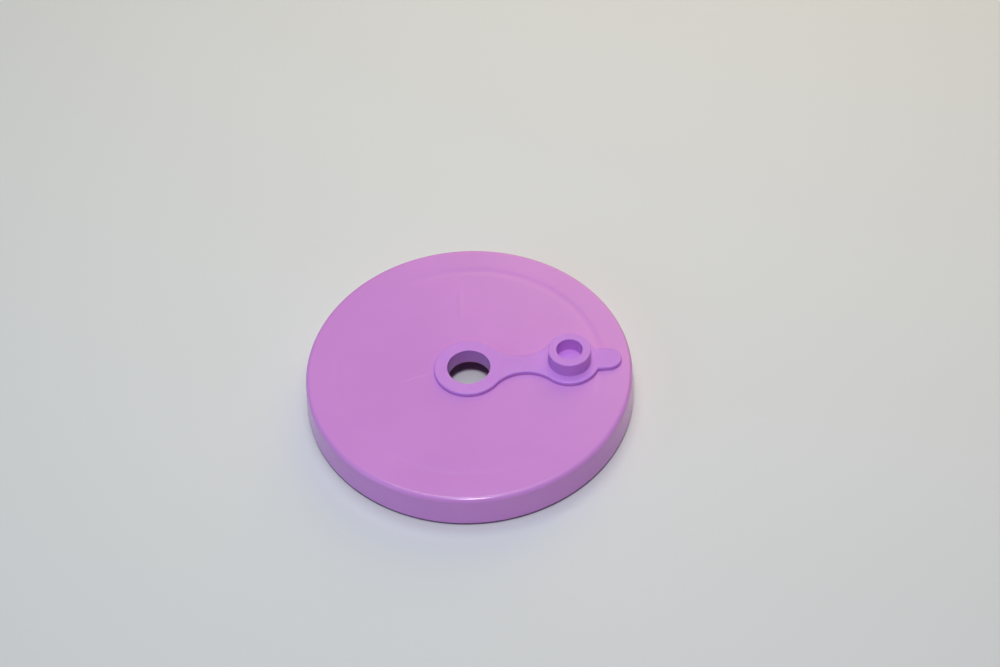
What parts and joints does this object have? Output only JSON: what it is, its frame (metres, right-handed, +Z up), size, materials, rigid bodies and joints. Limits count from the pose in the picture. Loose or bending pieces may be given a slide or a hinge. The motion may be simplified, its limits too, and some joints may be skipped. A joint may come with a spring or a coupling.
{
  "type": "drinking cup lid",
  "caption": "Low round press-in cup lid with a central straw hole and a tethered soft plug that folds over on its strap to close the hole.",
  "frame": {"origin": "bottom centre of the whole part: on the surface that the lid stands on, under the middle of the straw hole", "axes": "+Z up, out of the lid's top; +X from the straw hole along the open strap to the plug and pull tab"},
  "size_m": [0.09, 0.09, 0.0165],
  "materials": {
    "lid": "smooth moulded polypropylene, semi-gloss",
    "stopper": "satin moulded silicone",
    "seal": "milky translucent silicone, satin"
  },
  "bodies": {
    "lid": {"lid_shell": "lid", "seal_ring": "seal"},
    "grommet": {"stopper_grommet": "stopper"},
    "strap_a": {"strap_link_1": "stopper"},
    "strap_b": {"strap_link_2": "stopper"},
    "strap_c": {"strap_link_3": "stopper"},
    "cap": {"stopper_cap": "stopper", "pull_tab": "stopper"}
  },
  "joints": [
    {"name": "strap_swivel", "type": "hinge", "parent": "lid", "child": "grommet", "pos_m": [0, 0, 0.012], "axis": [0, 0, 1], "continuous": true},
    {"name": "strap_fold", "type": "hinge", "parent": "grommet", "child": "strap_a", "pos_m": [0.0108, 0, 0.012], "axis": [0, -1, 0], "range_deg": [0, 60]},
    {"name": "strap_fold_middle", "type": "hinge", "parent": "strap_a", "child": "strap_b", "pos_m": [0.0138, 0, 0.012], "axis": [0, -1, 0], "range_deg": [0, 60]},
    {"name": "strap_fold_end", "type": "hinge", "parent": "strap_b", "child": "strap_c", "pos_m": [0.0168, 0, 0.012], "axis": [0, -1, 0], "range_deg": [0, 60]},
    {"name": "plug_press", "type": "slide", "parent": "strap_c", "child": "cap", "axis": [0, 0, 1], "range_m": [0, 0.0049]}
  ],
  "couplings": [
    {"joint": "strap_fold_middle", "follows": "strap_fold", "ratio": 1},
    {"joint": "strap_fold_end", "follows": "strap_fold", "ratio": 1}
  ]
}
